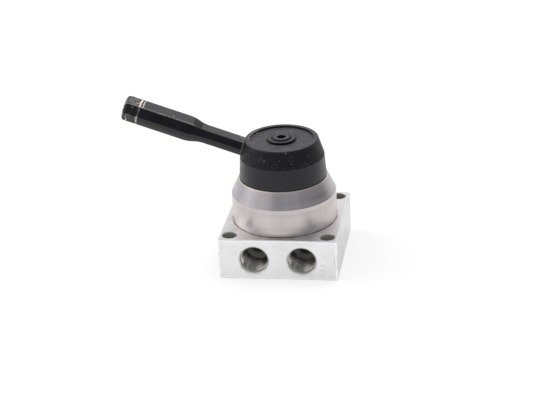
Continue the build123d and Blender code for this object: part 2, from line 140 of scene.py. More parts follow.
class VALVE_PG_metal(bpy.types.PropertyGroup):
    """Colours and finish of the bright metals"""
    block_colour: colour("Block", "Milled aluminium of the valve block", (0.81, 0.80, 0.805))
    bonnet_colour: colour("Bonnet", "Turned aluminium of the bonnet", (0.62, 0.565, 0.565))
    lip_colour: colour("Bonnet lip", "Bright worn edge at the bonnet's top", (0.80, 0.70, 0.60))
    joint_colour: colour("Joint line", "Brown residue where the bonnet meets the block", (0.19, 0.13, 0.075))
    bore_colour: colour("Bores", "Drilled and oily metal inside the bores", (0.50, 0.49, 0.455))
    # also the colour of the painted shade and painted reflections on the block and in the ports
    grime_and_shade_colour: colour("Grime", "Dirt in dents and corners", (0.045, 0.042, 0.036))
    steel_colour: colour("Steel", "Zinc plated and ground steel", (0.56, 0.55, 0.53))
    bronze_colour: colour("Bronze", "Sintered bronze of the bush", (0.50, 0.30, 0.14))
    block_roughness: factor("Block roughness", "Roughness of the milled faces", 0.27)
    bonnet_roughness: factor("Bonnet roughness", "Roughness of the turned faces", 0.34)


class VALVE_PG_black(bpy.types.PropertyGroup):
    """Colours and finish of the black parts"""
    paint_colour: colour("Paint", "Black enamel of the lever and hub", (0.0045, 0.0042, 0.0080))
    oxide_colour: colour("Black oxide", "Blackened steel of the screw and collar", (0.006, 0.006, 0.007))
    bare_colour: colour("Bare metal", "Metal that shows where the paint is worn", (0.62, 0.58, 0.50))
    # the colour of the painted highlights on the lever's ridges and root, which also stands for thin paint on
    # the ridges
    edge_highlight_colour: colour("Worn edge", "Thin paint along the ridges", (0.27, 0.26, 0.25))
    dust_colour: colour("Dust", "Paint under the dust that lies on level faces", (0.080, 0.075, 0.087))
    speck_colour: colour("Dust specks", "Grains of dust in the cast skin", (0.17, 0.17, 0.18))
    lint_colour: colour("Lint", "Pale specks on the hub's smooth band", (0.4, 0.4, 0.4))
    lever_roughness: factor("Lever roughness", "Roughness of the lever's enamel", 0.24)
    band_roughness: factor("Band roughness", "Roughness of the hub's smooth band", 0.34)
    cast_roughness: factor("Cast roughness", "Roughness of the hub's cast cone", 0.5)
    cast_relief: length("Cast relief", "Height of the cast skin's grain", 0.12 * MM)
    ring_place: length("Wear ring", "Distance of the worn ring from the lever's tip", 7.6 * MM)
    ring_width: length("Wear ring width", "Width of the worn ring", 0.55 * MM)


class VALVE_PG_thread(bpy.types.PropertyGroup):
    """Sizes of the threads in the ports"""
    pitch: length("Pitch", "Distance from one ridge to the next", PORT_PITCH)
    depth: length("Depth", "Height of a ridge", 0.78 * MM)
    start: length("Start", "Depth of the first ridge from the block's face", 1.9 * MM)


class VALVE_PG_stage(bpy.types.PropertyGroup):
    """Camera and light"""
    azimuth: angle("Azimuth", "Camera's turn from the front ports", 9.8)
    elevation: angle("Elevation", "Camera's height above the horizon", 24.52)
    roll: angle("Roll", "Camera's turn about its own axis", -3.01)
    distance: length("Distance", "From the aim point to the camera", 778.4 * MM)
    aim: bpy.props.FloatVectorProperty(name="Aim", description="Point that the camera looks at", size=3,
                                       default=(-4.33 * MM, -1.45 * MM, 28.49 * MM), subtype="TRANSLATION",
                                       unit="LENGTH")
    lens: bpy.props.FloatProperty(name="Lens", description="Focal length in millimetres on a 36 mm sensor",
                                  default=107.2)
    ambient: factor("Ambient", "Strength of the even light", 0.64)
    room_level: factor("Room level", "Brightness of the room on the camera's side", 0.14)
    ceiling_level: factor("Ceiling level", "Brightness of the room's upper part on the camera's side", 0.62)
    room_tint: colour("Room tint", "Colour of the room on the camera's side", (0.97, 0.985, 1.05),
                      most=2.0)
    backdrop_level: factor("Backdrop level", "Brightness of the backdrop in reflections", 0.83)
    floor_glow: factor("Floor glow", "How much the floor shows white by itself", 0.60)
    backdrop: colour("Backdrop", "Colour behind the object", (1.0, 1.0, 1.0))


# ---- Shader node helpers ----

class Graph:
    """Adds nodes to a shader or geometry tree and joins them."""

    def __init__(self, tree):
        self.tree = tree

    def add(self, kind, settings=None, **inputs):
        """A node with attributes from settings, and inputs by name, from a value or another node's socket."""
        node = self.tree.nodes.new(kind)
        for key, value in (settings or {}).items():
            setattr(node, key, value)
        for key, value in inputs.items():
            self.join(value, node.inputs[key.replace("_", " ")])
        return node

    def join(self, value, target):
        """Links a socket, or sets a plain value."""
        if isinstance(value, bpy.types.NodeSocket):
            self.tree.links.new(value, target)
        else:
            target.default_value = value

    def math(self, operation, *values):
        """A Math node's result."""
        node = self.add("ShaderNodeMath", {"operation": operation})
        for value, target in zip(values, node.inputs):
            self.join(value, target)
        return node.outputs[0]

    def chain(self, operation, first, *others):
        """A Math node's result, carried on over any number of values."""
        for value in others:
            first = self.math(operation, first, value)
        return first

    def times(self, *values):
        """The product of several values."""
        return self.chain("MULTIPLY", *values)

    def total(self, *values):
        """The sum of several values."""
        return self.chain("ADD", *values)

    def most(self, *values):
        """The greatest of several values."""
        return self.chain("MAXIMUM", *values)

    def less(self, value, amount):
        """A value less an amount."""
        return self.math("SUBTRACT", value, amount)

    def size(self, value):
        """A value without its sign."""
        return self.math("ABSOLUTE", value)

    def away(self, value, place):
        """How far a value is from a place."""
        return self.size(self.less(value, place))

    def diagonal(self, across, up):
        """The length from two sides at a right angle."""
        return self.math("SQRT", self.total(self.times(across, across), self.times(up, up)))

    def vector(self, operation, *values):
        """A Vector Math node's vector, or its value for a dot product."""
        node = self.add("ShaderNodeVectorMath", {"operation": operation})
        targets = (node.inputs[0], node.inputs["Scale"]) if operation == "SCALE" else node.inputs
        for value, target in zip(values, targets):
            self.join(value, target)
        return node.outputs["Value" if operation == "DOT_PRODUCT" else "Vector"]

    def parts(self, vector):
        """The three parts of a vector."""
        return tuple(self.add("ShaderNodeSeparateXYZ", Vector=vector).outputs)

    def facing_up(self):
        """How far a face looks up, from -1 to 1."""
        return self.parts(self.add("ShaderNodeNewGeometry").outputs["Normal"])[2]

    def ramp(self, value, low, high, out_low=0.0, out_high=1.0):
        """A smooth step of a value from one level to another."""
        node = self.add("ShaderNodeMapRange", {"interpolation_type": "SMOOTHSTEP"})
        for item, target in zip((value, low, high, out_low, out_high), node.inputs):
            self.join(item, target)
        return node.outputs["Result"]

    def blend(self, share, first, second):
        """A mix of two colours, each a socket or three numbers."""
        node = self.add("ShaderNodeMix", {"data_type": "RGBA"}, Factor=share)
        colour_a, colour_b = node.inputs[6:8]
        self.join(rgba(first), colour_a)
        self.join(rgba(second), colour_b)
        return node.outputs[2]

    def noise(self, vector, scale, detail=2.0):
        """A noise value from 0 to 1."""
        return self.add("ShaderNodeTexNoise", Vector=vector, Scale=scale, Detail=detail).outputs[0]

    def patches(self, vector, scale, low, high, least=0.0, detail=3.0):
        """Ragged patches: a noise that steps from a least value up to 1."""
        return self.ramp(self.noise(vector, scale, detail), low, high, least)

    def effect(self, name, **inputs):
        """A shared node group in place, built the first time that it is asked for: its outputs."""
        tree = bpy.data.node_groups.get(name) or EFFECTS[name](name)
        return self.add("ShaderNodeGroup", {"node_tree": tree}, **inputs).outputs

    def specks(self, place, scale, share, size):
        """Scattered spots: a mask that is 1 inside a spot."""
        return self.effect("surface_specks", Vector=place, Scale=scale, Share=share, Size=size)["Mask"]


def rgba(value):
    """A colour with full alpha. A socket stays as it is."""
    return value if isinstance(value, bpy.types.NodeSocket) else (*value, 1.0)


def toned(tint, share):
    """A colour made darker or paler."""
    return [min(part * share, 1.0) for part in tint]


# ---- Effects that more than one material uses ----

ORIGIN = (0.0, 0.0, 0.0)
EVEN = (1.0, 1.0, 1.0)


def shader_group(name, inputs, *outputs):
    """A new shader node group: its tree, its graph and the sockets inside it."""
    tree = bpy.data.node_groups.new(name, "ShaderNodeTree")
    for label, default in inputs.items():
        kind = "NodeSocketFloat" if isinstance(default, float) else "NodeSocketVector"
        tree.interface.new_socket(name=label, in_out="INPUT", socket_type=kind).default_value = default
    for label in outputs:
        tree.interface.new_socket(name=label, in_out="OUTPUT", socket_type="NodeSocketFloat")
    return tree, Graph(tree), tree.nodes.new("NodeGroupInput").outputs, tree.nodes.new("NodeGroupOutput").inputs


def build_specks(name):
    """Small scattered spots: a mask that is 1 inside a spot."""
    inputs = {"Vector": ORIGIN, "Scale": 1500.0, "Share": 0.15, "Size": 0.25}
    tree, g, source, result = shader_group(name, inputs, "Mask")
    cells = g.add("ShaderNodeTexVoronoi", Vector=source["Vector"], Scale=source["Scale"])
    draw = g.add("ShaderNodeSeparateColor", Color=cells.outputs["Color"]).outputs[0]
    chosen = g.math("LESS_THAN", draw, source["Share"])
    spot = g.ramp(cells.outputs["Distance"], source["Size"], g.times(source["Size"], 0.5))
    g.join(g.times(spot, chosen), result["Mask"])
    return tree


def build_scuffs(name):
    """Long fine scratches along one axis: a mask that is 1 on a scratch."""
    inputs = {"Vector": ORIGIN, "Stretch": EVEN, "Amount": 0.3}
    tree, g, source, result = shader_group(name, inputs, "Mask")
    lines = g.noise(g.vector("MULTIPLY", source["Vector"], source["Stretch"]), 1.0, 3.0)
    level = g.less(0.78, g.times(source["Amount"], 0.2))
    fine = g.ramp(lines, level, g.total(level, 0.05))
    g.join(g.times(fine, g.patches(source["Vector"], 180.0, 0.45, 0.7, detail=2.0)), result["Mask"])
    return tree


def build_grain(name):
    """Fine surface grain: a height for bump and a slow variation for colour."""
    inputs = {"Vector": ORIGIN, "Scale": 1.0, "Stretch": EVEN}
    tree, g, source, result = shader_group(name, inputs, "Height", "Variation")
    placed = g.vector("MULTIPLY", source["Vector"], source["Stretch"])
    g.join(g.noise(placed, source["Scale"], 3.0), result["Height"])
    g.join(g.noise(source["Vector"], 90.0, 3.0), result["Variation"])
    return tree


def build_box_edge(name):
    """Wear along the edges of an upright box whose foot is at the origin: a mask that is 1 at an edge."""
    inputs = {"Vector": ORIGIN, "Half Width": 28 * MM, "Height": 20 * MM, "Reach": 0.8 * MM}
    tree, g, source, result = shader_group(name, inputs, "Mask")
    x, y, z = g.parts(source["Vector"])
    from_x = g.less(source["Half Width"], g.size(x))
    from_y = g.less(source["Half Width"], g.size(y))
    from_z = g.math("MINIMUM", z, g.less(source["Height"], z))
    from_edge = g.less(g.total(from_x, from_y, from_z), g.most(from_x, from_y, from_z))
    ragged = g.times(g.noise(source["Vector"], 900.0), source["Reach"])
    g.join(g.ramp(g.less(from_edge, ragged), source["Reach"], 0.0), result["Mask"])
    return tree


EFFECTS = {"surface_specks": build_specks, "surface_scuffs": build_scuffs, "surface_grain": build_grain,
           "box_edge_wear": build_box_edge}


def fresh_graph(owner):
    """The emptied node tree of a material or a world."""
    owner.use_nodes = True
    owner.node_tree.nodes.clear()
    return Graph(owner.node_tree)


def new_material(name):
    """A new material, its graph, its Principled shader and its Object coordinates."""
    material = bpy.data.materials.new(name)
    g = fresh_graph(material)
    shader = g.add("ShaderNodeBsdfPrincipled")
    g.add("ShaderNodeOutputMaterial", Surface=shader.outputs[0])
    return material, g, shader, g.add("ShaderNodeTexCoord").outputs["Object"]


def supply(g, shader, tone, rough, height, relief, **others):
    """Supplies a shader with its colour, roughness, bump and any other inputs by name."""
    g.join(tone, shader.inputs["Base Color"])
    g.join(rough, shader.inputs["Roughness"])
    g.join(g.add("ShaderNodeBump", Height=height, Distance=relief).outputs[0], shader.inputs["Normal"])
    for key, value in others.items():
        g.join(value, shader.inputs[key.replace("_", " ")])


# ---- Metals ----

def milled_aluminium(metal):
    """The valve block: fine milling lines, drilled bores with a painted dark reflection along their lower walls,
    painted shade on the left and right faces, in the mounting holes and along the foot, a painted dark
    reflection of the bonnet on the top face, worn edges and dents at the corners.
    """
    material, g, shader, place = new_material("milled_aluminium")
    x, y, z = g.parts(place)
    height, variation = g.effect("surface_grain", Vector=place, Stretch=(500.0, 2600.0, 6500.0))
    edge = g.effect("box_edge_wear", Vector=place, Half_Width=BLOCK_HIGH.x, Height=BLOCK_HIGH.z)["Mask"]
    across = port_across(g, x)
    port_r = g.diagonal(across, g.less(z, PORT_Z))
    level = g.math("GREATER_THAN", z, BLOCK_HIGH.z - SKIN)

    depth = g.less(BLOCK_HIGH.x, g.most(g.size(x), g.size(y)))
    wall_from, wall_full, face_depth = 2.2 * MM, 5 * MM, 0.3 * MM
    inside = g.times(g.ramp(depth, wall_from, wall_full), g.math("LESS_THAN", z, BLOCK_HIGH.z - face_depth),
                     g.math("GREATER_THAN", z, face_depth))
    hole = g.times(hole_mouth(g, x, y), g.less(1.0, level))
    inside = g.most(inside, hole)
    mouth = g.times(g.ramp(depth, 0.02 * MM, 0.06 * MM), g.math("LESS_THAN", port_r, PORT_MOUTH_R))
    # painted reflection: the dark upper wall mirrored darker on the ports' lower walls
    bore_reflection = g.times(inside, painted_wall_reflection(g, across, z))

    outline = g.times(g.ramp(g.away(port_r, PORT_LINE_R), 0.22 * MM, 0.06 * MM),
                      g.patches(place, 330.0, 0.35, 0.6, 0.2, detail=2.0),
                      g.math("GREATER_THAN", g.size(y), BLOCK_HIGH.y - SKIN))
    # painted shade: the block's left and right faces made darker
    side_shade = g.ramp(g.size(x), BLOCK_HIGH.x - 0.12 * MM, BLOCK_HIGH.x - 0.04 * MM)
    # painted reflection: the top face darker between the bonnet and the front edge, where it mirrors the bonnet
    reflection_back, reflection_front, reflection_end, reflection_full = -18 * MM, -23 * MM, 19.5 * MM, 15 * MM
    top_face_reflection = g.times(g.ramp(y, reflection_back, reflection_front), g.ramp(g.size(x), reflection_end, reflection_full), level,
                    g.patches(place, 240.0, 0.3, 0.7, 0.75))
    # painted shade: a dark band along the block's foot, where it stands on the floor
    foot = g.ramp(z, 0.55 * MM, 0.1 * MM)
    number = port_number(g, x, y, z)

    tone = g.blend(g.ramp(variation, 0.3, 0.75), metal.block_colour, toned(metal.block_colour, 0.9))
    tone = g.blend(edge, tone, toned(metal.block_colour, 1.15))
    dents = g.times(g.specks(place, 700.0, 0.12, 0.22), edge)
    tone = g.blend(g.times(dents, 0.7), tone, metal.grime_and_shade_colour)
    tone = g.blend(joint_line(g, place), tone, metal.joint_colour)
    tone = g.blend(g.times(inside, 0.9), tone, metal.bore_colour)
    # These blends paint the grime colour: painted reflection in the ports and on the top face, painted shade in
    # the mounting holes, on the left and right faces and along the foot, a dark line round each port's mouth,
    # and the stamped figure.
    for mask, share in ((bore_reflection, 0.26), (outline, 0.4), (hole, 0.3), (side_shade, 0.22), (top_face_reflection, 0.3), (foot, 0.45),
                        (number, 0.14)):
        tone = g.blend(g.times(mask, share), tone, metal.grime_and_shade_colour)

    rough = g.ramp(variation, 0.2, 0.8, metal.block_roughness - 0.05, metal.block_roughness + 0.08)
    rough = g.total(rough, g.times(level, 0.16), g.times(inside, 0.2))
    supply(g, shader, tone, rough, g.less(height, g.times(number, 4.0)), 0.012 * MM,
           Metallic=g.less(1.0, g.times(g.most(inside, mouth), 0.7)))
    return material


def port_across(g, x):
    """How far to the side of the nearest port's axis a point lies."""
    return g.less(g.math("WRAP", x, PORT_SPACING, 0.0), PORT_SPACING / 2)


def painted_wall_reflection(g, across, z):
    """Painted reflection: the dark upper wall mirrored along the lower wall of the ports, a little to the left:
    a mask that is 1 in it.
    """
    reflection_left, reflection_edge, reflection_core = 1.6 * MM, 3.2 * MM, 0.8 * MM
    return g.times(g.ramp(g.size(g.total(across, reflection_left)), reflection_edge, reflection_core),
                   g.math("LESS_THAN", z, PORT_Z))


def hole_mouth(g, x, y):
    """The mounting holes: a mask that is 1 inside the bright rim of each mouth."""
    off_axis = g.diagonal(g.less(g.size(x), HOLE_X), g.less(g.size(y), HOLE_Y))
    return g.ramp(off_axis, HOLE_RIM_R + 0.06 * MM, HOLE_RIM_R)


def port_number(g, x, y, z):
    """A plain figure 3 stamped beside the right front port: a mask that is 1 in its strokes."""
    bowl, stroke = 1.3 * MM, 0.28 * MM
    across = g.less(x, NUMBER_X)
    bowls = []
    for lift in (bowl, -bowl):
        off_bowl = g.away(g.diagonal(across, g.less(z, NUMBER_Z + lift)), bowl)
        bowls.append(g.ramp(off_bowl, stroke, stroke * 0.4))
    return g.times(g.most(*bowls), g.math("GREATER_THAN", across, -bowl * 0.55),
                   g.math("LESS_THAN", y, BLOCK_LOW.y + SKIN))


def joint_line(g, place):
    """A thin broken brown line at the foot of the bonnet, on both pieces."""
    x, y, z = g.parts(place)
    flat = g.diagonal(x, y)
    near = g.ramp(g.away(flat, BONNET_HIGH.x), 0.55 * MM, 0.1 * MM)
    low = g.ramp(g.away(z, BLOCK_HIGH.z), 0.45 * MM, 0.08 * MM)
    return g.times(near, low, g.ramp(g.noise(place, 260.0), 0.3, 0.6, 0.35, 0.95))


def thread_aluminium(metal):
    """The tapped aluminium of the ports: bright ridges with a painted dark reflection along the bottom."""
    material, g, shader, place = new_material("thread_aluminium")
    x, z = g.parts(place)[::2]
    height, variation = g.effect("surface_grain", Vector=place, Stretch=(900.0, 5000.0, 900.0))
    tone = g.blend(g.ramp(height, 0.35, 0.65), toned(metal.bore_colour, 1.12), toned(metal.bore_colour, 0.8))
    # painted reflection: the ridges darker along the bottom of each port
    tone = g.blend(g.times(painted_wall_reflection(g, port_across(g, x), z), 0.64), tone, metal.grime_and_shade_colour)
    supply(g, shader, tone, g.ramp(variation, 0.3, 0.7, 0.2, 0.3), height, 0.01 * MM, Metallic=1.0)
    return material


def turned_aluminium(metal):
    """The bonnet: fine rings from the lathe, with the cone painted duller and bluer than the side as a painted
    reflection, and painted reflection streaks mostly on the cone.
    """
    material, g, shader, place = new_material("turned_aluminium")
    x, y, z = g.parts(place)
    rings = g.add("ShaderNodeCombineXYZ", X=g.times(g.diagonal(x, y), 0.6), Z=z).outputs[0]
    fine, wide = g.noise(rings, 9000.0), g.noise(rings, 900.0)
    turn = g.add("ShaderNodeCombineXYZ", X=g.math("ARCTAN2", y, x)).outputs[0]
    cone = g.ramp(z, CONE_START - 0.1 * MM, CONE_START + 0.1 * MM)
    cone_reflection_colour = [part * share for part, share in zip(metal.bonnet_colour, CONE_REFLECTION_TINT)]
    lip = g.ramp(z, BONNET_HIGH.z - 0.7 * MM, BONNET_HIGH.z - 0.35 * MM)

    tone = g.blend(g.patches(place, 110.0, 0.3, 0.75), metal.bonnet_colour, toned(metal.bonnet_colour, 0.9))
    tone = g.blend(cone, tone, cone_reflection_colour)
    tone = g.blend(g.times(g.ramp(wide, 0.45, 0.7), 0.25), tone, toned(metal.bonnet_colour, 0.8))
    # painted reflection: dark streaks across the turn, mostly on the cone
    reflection_streaks = g.times(g.patches(turn, 9.0, 0.42, 0.62, detail=2.0), g.ramp(cone, 0.0, 1.0, 0.08, 0.30))
    tone = g.blend(reflection_streaks, tone, toned(metal.bonnet_colour, 0.66))
    tone = g.blend(g.times(lip, 0.5), tone, metal.lip_colour)
    tone = g.blend(joint_line(g, place), tone, metal.joint_colour)
    tone = g.blend(g.times(g.specks(place, 520.0, 0.05, 0.12), 0.5), tone, metal.grime_and_shade_colour)

    rough = g.ramp(wide, 0.3, 0.7, metal.bonnet_roughness - 0.04, metal.bonnet_roughness + 0.08)
    tangent = g.add("ShaderNodeTangent", {"direction_type": "RADIAL", "axis": "Z"}).outputs[0]
    supply(g, shader, tone, rough, g.total(g.times(fine, 0.6), g.times(wide, 0.4)), 0.006 * MM,
           Metallic=1.0, Anisotropic=0.6, Anisotropic_Rotation=0.25, Tangent=tangent)
    return material


def plain_metal(name, tint, roughness, stretch=(900.0, 900.0, 5000.0)):
    """Ground or plated metal for the small parts, with faint marks."""
    material, g, shader, place = new_material(name)
    height, variation = g.effect("surface_grain", Vector=place, Stretch=stretch)
    scuffs = g.effect("surface_scuffs", Vector=place, Stretch=(700.0, 5200.0, 900.0), Amount=0.4)["Mask"]
    tone = g.blend(g.ramp(variation, 0.3, 0.7), tint, toned(tint, 0.78))
    tone = g.blend(g.times(scuffs, 0.4), tone, toned(tint, 1.5))
    supply(g, shader, tone, g.ramp(height, 0.3, 0.7, roughness - 0.05, roughness + 0.08), height, 0.008 * MM,
           Metallic=1.0)
    return material


def soft_stuff(name, tint, roughness):
    """Moulded rubber or plastic: a matt skin with a slight cloud of tone."""
    material, g, shader, place = new_material(name)
    height, variation = g.effect("surface_grain", Vector=place, Scale=2500.0)
    tone = g.blend(g.ramp(variation, 0.3, 0.7), tint, toned(tint, 0.85))
    supply(g, shader, tone, g.ramp(height, 0.3, 0.7, roughness - 0.06, roughness + 0.06), height, 0.015 * MM)
    return material


# ---- Black finishes ----

def lever_place(g, place):
    """Where a point lies on the lever: distance to the tip, across, and above the lever's centre line."""
    from_foot = g.vector("SUBTRACT", place, HUB_FOOT)
    from_tip = g.less(LEVER_REACH, g.vector("DOT_PRODUCT", from_foot, TOWARD_TIP))
    rise = g.less(g.vector("DOT_PRODUCT", from_foot, LEVER_UP), LEVER_AXIS_H)
    return from_tip, g.size(g.parts(place)[1]), rise


def cast_black(black):
    """The hub's cast cone and recess: a coarse skin with dust on its level faces, a painted contact shadow round
    the collar's foot where no dust is laid, pale specks and chips.
    """
    material, g, shader, place = new_material("cast_black_enamel")
    x, y = g.parts(place)[:2]
    flat = g.diagonal(x, y)
    height, variation = g.effect("surface_grain", Vector=place, Scale=1500.0)
    level = g.ramp(g.facing_up(), 0.6, 0.95)
    patch = g.patches(place, 160.0, 0.42, 0.66)
    # painted shadow: a dark ring on the recess floor round the collar's foot
    collar_contact_shade = g.ramp(g.away(flat, COLLAR_R + 0.2 * MM), 0.75 * MM, 0.35 * MM)
    lying = g.times(level, g.patches(place, 220.0, 0.2, 0.8, 0.6, detail=4.0),
                    g.less(1.0, g.times(collar_contact_shade, 0.9)))
    rub_from, rub_full = -11.5 * MM, -13.0 * MM
    rubbed = g.times(g.ramp(g.away(flat, RECESS_R), 0.9 * MM, 0.1 * MM), g.ramp(x, rub_from, rub_full),
                     g.patches(place, 500.0, 0.42, 0.6), level)

    tone = g.blend(g.ramp(variation, 0.3, 0.7), toned(black.paint_colour, 0.7), toned(black.paint_colour, 1.3))
    tone = g.blend(lying, tone, black.dust_colour)
    tone = g.blend(g.times(g.specks(place, 1500.0, 0.42, 0.4), patch, 0.55), tone, black.speck_colour)
    tone = g.blend(g.times(g.specks(place, 700.0, 0.17, 0.28), patch, 0.5), tone, black.bare_colour)
    tone = g.blend(g.times(rubbed, 0.35), tone, black.bare_colour)
    rough = g.ramp(height, 0.3, 0.7, black.cast_roughness - 0.1, black.cast_roughness + 0.12)
    supply(g, shader, tone, rough, height, black.cast_relief, Specular_IOR_Level=0.26)
    return material


def band_black(black):
    """The hub's smooth band, machined before it was painted."""
    material, g, shader, place = new_material("smooth_black_enamel")
    turned = g.add("ShaderNodeCombineXYZ", Z=g.parts(place)[2]).outputs[0]
    cloud = g.noise(place, 120.0, 3.0)
    tone = g.blend(g.ramp(cloud, 0.3, 0.7), black.paint_colour, toned(black.paint_colour, 1.6))
    tone = g.blend(g.times(g.specks(place, 1500.0, 0.03, 0.22), 0.25), tone, black.lint_colour)
    rough = g.ramp(cloud, 0.3, 0.7, black.band_roughness - 0.04, black.band_roughness + 0.06)
    height = g.total(g.times(g.noise(turned, 5000.0), 0.5), g.noise(place, 3000.0))
    supply(g, shader, tone, rough, height, 0.004 * MM, Specular_IOR_Level=0.42)
    return material


def worn_line(g, value, place, width):
    """A line across the lever: a mask that is 1 where a value is near a place."""
    return g.ramp(g.away(value, place), width, width * 0.3)


def lever_black(black):
    """The lever's gloss enamel: worn rings, rim and chips at the tip, a painted highlight with thin paint on the
    upper ridges, a painted highlight at the lever's root, painted reflection on the lower facets, pale specks.
    """
    material, g, shader, place = new_material("gloss_black_enamel")
    x, y, z = g.parts(place)
    from_tip, across, rise = lever_place(g, place)
    out = g.diagonal(across, rise)
    up = g.facing_up()
    lower = g.ramp(up, -0.1, -0.3)

    wandered = g.total(from_tip, g.times(g.less(g.noise(place, 300.0), 0.5), 1.2 * MM))
    ring = worn_line(g, wandered, black.ring_place, black.ring_width)
    ring_gap, under_place = 1.5 * MM, 2.6 * MM
    second = g.times(worn_line(g, wandered, black.ring_place + ring_gap, black.ring_width * 0.7),
                     g.ramp(up, 0.5, 0.8, 0.0, 0.8))
    under = g.times(worn_line(g, wandered, under_place, black.ring_width * 0.8), lower)
    side = g.times(g.ramp(up, 0.0, 0.2), g.ramp(up, 0.6, 0.45))
    rings = g.times(g.most(ring, second, under), g.less(1.0, g.times(side, 0.7)),
                    g.patches(place, 700.0, 0.36, 0.5, 0.25))
    rim = g.times(g.ramp(from_tip, 0.9 * MM, 0.3 * MM), g.ramp(out, TIP_RIM_R - 0.5 * MM, TIP_RIM_R),
                  g.patches(place, 900.0, 0.48, 0.6))
    chips = g.times(g.specks(place, 1000.0, 0.13, 0.3), g.ramp(from_tip, 10 * MM, 5 * MM),
                    g.ramp(from_tip, 0.1 * MM, 0.5 * MM, 0.12, 0.8))
    bare = g.most(rings, rim, chips, g.times(g.specks(place, 420.0, 0.06, 0.16), 0.6))

    # painted highlight: a pale line along the upper ridges of the grip, also standing for thin paint there
    off_ridge = g.times(g.away(g.math("ARCTAN2", rise, across), math.radians(45)), out)
    ridge = g.times(g.ramp(off_ridge, 0.42 * MM, 0.2 * MM), g.patches(place, 260.0, 0.3, 0.6, 0.6),
                    g.ramp(from_tip, GRIP_END + 4 * MM, GRIP_END, 0.3), g.ramp(from_tip, 0.2 * MM, 0.7 * MM))
    # painted highlight: a pale line where the lever meets the hub's cone
    off_cone = g.total(g.less(g.diagonal(x, y), CONE_FOOT_R),
                       g.times(g.less(z, BAND_TOP), CONE_SLOPE))
    root_highlight = g.times(g.ramp(off_cone, 0.75 * MM, 0.45 * MM), g.patches(place, 400.0, 0.3, 0.6, 0.4, detail=2.0))
    dusty = g.times(g.ramp(from_tip, black.ring_place + 0.4 * MM, black.ring_place - 0.4 * MM),
                    g.most(g.ramp(up, 0.45, 0.8, 0.12), g.times(lower, 0.7)),
                    g.patches(place, 900.0, 0.42, 0.58, 0.15, detail=4.0))
    # painted reflection: the lower facets paler towards their bottom edge
    lower_reflection = g.times(lower, g.ramp(rise, -1.2 * MM, -4.0 * MM))

    cloud = g.noise(place, 150.0, 3.0)
    tone = g.blend(g.ramp(cloud, 0.3, 0.7), toned(black.paint_colour, 0.8), toned(black.paint_colour, 1.3))
    tone = g.blend(g.most(dusty, g.times(lower_reflection, 0.42)), tone, [sum(black.dust_colour) * 0.5] * 3)
    tone = g.blend(g.times(ridge, 0.8), tone, black.edge_highlight_colour)
    tone = g.blend(g.times(root_highlight, 0.5), tone, black.edge_highlight_colour)
    tone = g.blend(bare, tone, black.bare_colour)
    rough = g.total(g.ramp(cloud, 0.3, 0.7, black.lever_roughness - 0.03, black.lever_roughness + 0.05),
                    g.times(bare, 0.15))
    supply(g, shader, tone, rough, g.less(g.times(g.noise(place, 1100.0), 0.7), g.times(bare, 0.8)), 0.02 * MM,
           Metallic=g.times(bare, 0.8), Specular_IOR_Level=0.35)
    return material


def black_steel(black):
    """Blackened steel of the screws and collar: dust on the level faces and a ring of painted shade round the
    lever screw's head.
    """
    material, g, shader, place = new_material("black_oxide_steel")
    x, y = g.parts(place)[:2]
    height, variation = g.effect("surface_grain", Vector=place, Scale=2400.0)
    lying = g.times(g.ramp(g.facing_up(), 0.6, 0.95), g.ramp(height, 0.3, 0.7, 0.75))
    # painted shade: a dark ring without dust round the lever screw's head
    gap_shade = g.ramp(g.away(g.diagonal(x, y), SCREW_R + 0.3 * MM), 0.65 * MM, 0.4 * MM)
    tone = g.blend(lying, black.oxide_colour, toned(black.dust_colour, 1.05))
    tone = g.blend(gap_shade, tone, black.oxide_colour)
    supply(g, shader, tone, g.ramp(height, 0.3, 0.7, 0.38, 0.52), height, 0.02 * MM,
           Metallic=g.times(variation, 0.3), Specular_IOR_Level=0.14)
    return material


# ---- Port threads, as geometry nodes ----

